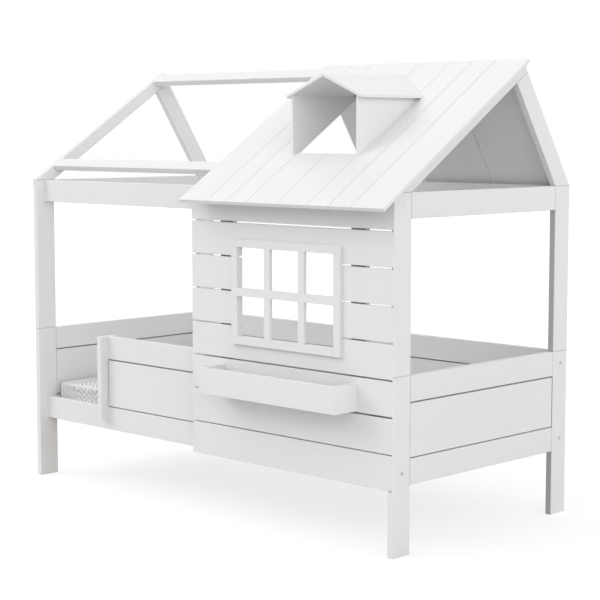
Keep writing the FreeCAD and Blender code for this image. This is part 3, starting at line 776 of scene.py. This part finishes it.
def block_skin(name, low, high):
    """The skin of a block as one closed net, with rounded edges."""
    lines = [stations(l, h) for l, h in zip(low, high)]
    last = [len(line) - 1 for line in lines]
    net = bmesh.new()
    corners = {}

    def corner(index):
        if index not in corners:
            spot = Vector(line[i] for line, i in zip(lines, index))
            corners[index] = net.verts.new(rounded(spot, low, high))
        return corners[index]

    for axis in range(3):
        first, second = [a for a in range(3) if a != axis]
        for level in (0, last[axis]):
            for i in range(last[first]):
                for j in range(last[second]):
                    ring = []
                    for di, dj in ((0, 0), (1, 0), (1, 1), (0, 1)):
                        index = [0, 0, 0]
                        index[axis], index[first], index[second] = level, i + di, j + dj
                        ring.append(corner(tuple(index)))
                    net.faces.new(ring)
    bmesh.ops.recalc_face_normals(net, faces=net.faces)
    mesh = bpy.data.meshes.new(name)
    net.to_mesh(mesh)
    net.free()
    piece = bpy.data.objects.new(name, mesh)
    scene.collection.objects.link(piece)
    return piece


sheet_high = foam_high + Vector((0.0, 0.0, SHEET_RISE))
block_top = sheet_high - Vector((0.0, 0.0, CROWN))
mattress = block_skin("sheeted_mattress", foam_low, block_top)
print("cloth squares:", len(mattress.data.polygons))

# %% [markdown]
# ## Swelling the faces
# How far a point lies from the nearest edge decides three things: how deep its face starts, how far
# it may travel, and on the top how much of the crown it gets.

# %% Swell the mattress
TRAVEL_CAP = 0.008
EDGE_HOLD = 0.045           # the foam's edges hold the sheet up to this far from them
FRAMES = 20
CLOTH = {"quality": 5, "mass": 0.3, "use_pressure": True, "uniform_pressure_force": 4.0,
         "tension_stiffness": 18.0, "compression_stiffness": 12.0, "bending_stiffness": 0.4}


def from_edges(spot):
    """Distance to the nearest edge of the block, along the face the point lies on."""
    gaps = sorted(min(c - l, h - c) for c, l, h in zip(spot, foam_low, block_top))
    return gaps[1]


def freedom(spot):
    return smooth_step(from_edges(spot) / EDGE_HOLD)


def drawn_in(spot, normal):
    """The face's middle starts a little inside; the top also gets its crown."""
    shaped = spot - normal * (DRAWN_IN * freedom(spot))
    if normal.z > 0.5:
        side = min(min(spot[i] - foam_low[i], foam_high[i] - spot[i]) for i in (0, 1))
        shaped.z += CROWN * smooth_step(side / CROWN_RUN)
    return shaped


def blow_up(piece, caps):
    """Run the pressure simulation and keep its last frame, no point further than its cap."""
    start = [v.co.copy() for v in piece.data.vertices]
    cloth = piece.modifiers.new("pressure", "CLOTH")
    for setting, value in CLOTH.items():
        setattr(cloth.settings, setting, value)
    cloth.settings.effector_weights.gravity = 0.0
    cloth.point_cache.frame_start, cloth.point_cache.frame_end = 1, FRAMES
    for number in range(1, FRAMES + 1):
        scene.frame_set(number)
    apply_modifiers(piece)
    furthest = 0.0
    for vertex, old, cap in zip(piece.data.vertices, start, caps):
        move = vertex.co - old
        if move.length > cap:
            move *= cap / move.length
        vertex.co = old + move
        furthest = max(furthest, move.length)
    scene.frame_set(1)
    return furthest


def held_inside(piece, low, high):
    """Press every point back into its room."""
    for vertex in piece.data.vertices:
        vertex.co = Vector(min(max(c, l), h) for c, l, h in zip(vertex.co, low, high))


caps = [TRAVEL_CAP * freedom(v.co) for v in mattress.data.vertices]
shaped = [drawn_in(v.co, v.normal) for v in mattress.data.vertices]
for vertex, spot in zip(mattress.data.vertices, shaped):
    vertex.co = spot
print("furthest travel of the sheet:", round(blow_up(mattress, caps), 4))
held_inside(mattress, foam_low, sheet_high)
finer = mattress.modifiers.new("finer", "SUBSURF")
finer.levels = finer.render_levels = 1
apply_modifiers(mattress)
for polygon in mattress.data.polygons:
    polygon.use_smooth = True
print("mattress faces:", len(mattress.data.polygons))

# %% [markdown]
# ## Leaf-print cotton
# The sheet is pale cotton with a small common print: rows of short slanted strokes, dark and light
# by turns, that lean the other way in each next column, like leaves on a stem. A plain border runs
# round it, a hand's width at the head and foot and a narrow strip along the sides. The print has to
# run over the edge without a break, as on cloth, so it reads a map of its own: distances measured
# over the top and on down the side. Columns and strokes come from plain repeating waves, bent a
# little by noise, and a fine crossed weave lies under them as relief.

# %% Sheet pattern
def lay_cloth_map(piece, low, top):
    """UV in metres, measured over the top and down each side like a tape."""
    layer = piece.data.uv_layers.new(name="cloth")
    centre = (low + top) / 2
    for polygon in piece.data.polygons:
        for loop_index in polygon.loop_indices:
            spot = piece.data.vertices[piece.data.loops[loop_index].vertex_index].co
            fall = max(0.0, top.z - spot.z)
            u, v = spot.x, spot.y
            if abs(polygon.normal.x) > abs(polygon.normal.y):
                u += fall * math.copysign(1, spot.x - centre.x)
            else:
                v += fall * math.copysign(1, spot.y - centre.y)
            layer.data[loop_index].uv = (u, v)


def band(tree, value, centre, half, soft):
    """1 within half of a level, fading to 0 over a soft edge."""
    distance = math_node(tree, "ABSOLUTE", math_node(tree, "SUBTRACT", value, centre))
    return ranged(tree, distance, 1.0, 0.0, half, half + soft)


LEAF_WIDTH = 0.037          # from a stem to the tips of its leaves
STROKE_STEP = 0.023         # from one leaf to the next along the stem
STROKE_HALF, STROKE_FADE = 0.0028, 0.0026
DARK_PLACE, LIGHT_PLACE = 0.28, 0.76    # the two strokes within a step
BLADE_HALF, BLADE_FADE = 0.34, 0.14     # how much of the leaf's width a stroke fills
SWAY, SLIP = 0.020, 0.012               # how far noise bends the columns and the rows
ABOVE_ZERO = 10.0                       # added so that no row has a negative place
END_BORDER, SIDE_BORDER, BORDER_FADE = 0.086, 0.007, 0.004
SHEET_SHADE, SHEET_PALE = (0.68, 0.685, 0.685, 1.0), (0.72, 0.725, 0.725, 1.0)
PRINT_DARK, PRINT_LIGHT = (0.36, 0.365, 0.37, 1.0), (0.86, 0.86, 0.86, 1.0)
THREADS = 300.0             # scale of the weave
WEAVE_RELIEF, PRINT_RELIEF = 0.0002, 0.0006


def leaf_print(tree, across, down):
    """Where the dark strokes and the light ones lie."""
    zigzag = math_node(tree, "PINGPONG", across, LEAF_WIDTH)
    slanted = math_node(tree, "ADD", down, zigzag)
    row = math_node(tree, "MODULO", math_node(tree, "ADD", slanted, ABOVE_ZERO), STROKE_STEP)
    blade = band(tree, zigzag, LEAF_WIDTH / 2, LEAF_WIDTH * BLADE_HALF, LEAF_WIDTH * BLADE_FADE)
    strokes = [band(tree, row, STROKE_STEP * place, STROKE_HALF, STROKE_FADE)
               for place in (DARK_PLACE, LIGHT_PLACE)]
    return [math_node(tree, "MULTIPLY", stroke, blade) for stroke in strokes]


def printed_field(tree, across, down, low, high):
    """1 where the sheet is printed, on its top and down its long sides, 0 in its border."""
    centre, half = (low + high) / 2, (high - low) / 2
    inside = band(tree, across, centre.x, half.x - END_BORDER, BORDER_FADE)
    on_top = band(tree, down, centre.y, half.y - SIDE_BORDER, BORDER_FADE)
    above = band(tree, down, centre.y, half.y + SIDE_BORDER, BORDER_FADE)
    down_side = math_node(tree, "SUBTRACT", 1.0, above)
    return math_node(tree, "MULTIPLY", inside, math_node(tree, "ADD", on_top, down_side))


def weave(tree, place):
    """Crossed threads as one height."""
    threads = []
    for direction in ("X", "Y"):
        thread = tree.nodes.new("ShaderNodeTexWave")
        thread.bands_direction = direction
        thread.inputs["Scale"].default_value = THREADS
        link(tree, place, thread.inputs["Vector"])
        threads.append(thread.outputs["Fac"])
    return math_node(tree, "MULTIPLY", *threads)


def leaf_cotton(low, high):
    material, tree, shader, _ = new_material("leaf_cotton")
    cloth = tree.nodes.new("ShaderNodeUVMap")
    cloth.uv_map = "cloth"
    place = cloth.outputs["UV"]
    split = tree.nodes.new("ShaderNodeSeparateXYZ")
    link(tree, place, split.inputs[0])
    across, down = split.outputs["X"], split.outputs["Y"]
    wobble = noise(tree, place, 16.0, detail=2.0)
    patches = noise(tree, place, 22.0, detail=1.0)
    strokes = leaf_print(tree, math_node(tree, "ADD", across, ranged(tree, wobble, -SWAY, SWAY)),
                         math_node(tree, "ADD", down, ranged(tree, wobble, SLIP, -SLIP)))
    faded = math_node(tree, "MULTIPLY", printed_field(tree, across, down, low, high),
                      ranged(tree, patches, 0.65, 1.0, 0.35, 0.6))
    dark, light = (math_node(tree, "MULTIPLY", stroke, faded) for stroke in strokes)
    inked = mixed(tree, dark, mixed(tree, wobble, SHEET_SHADE, SHEET_PALE), PRINT_DARK)
    link(tree, mixed(tree, light, inked, PRINT_LIGHT), shader.inputs["Base Color"])
    soft = bumped(tree, weave(tree, place), WEAVE_RELIEF, 0.4)
    link(tree, bumped(tree, light, PRINT_RELIEF, 0.5, under=soft), shader.inputs["Normal"])
    shader.inputs["Roughness"].default_value = 0.85
    shader.inputs["Sheen Weight"].default_value = 0.15
    shader.inputs["Sheen Roughness"].default_value = 0.5
    return material


lay_cloth_map(mattress, foam_low, block_top)
finish_with(mattress, leaf_cotton(foam_low, foam_high))
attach(mattress, "mattress")
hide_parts("mattress")
print("sheet laid over", mattress.name)
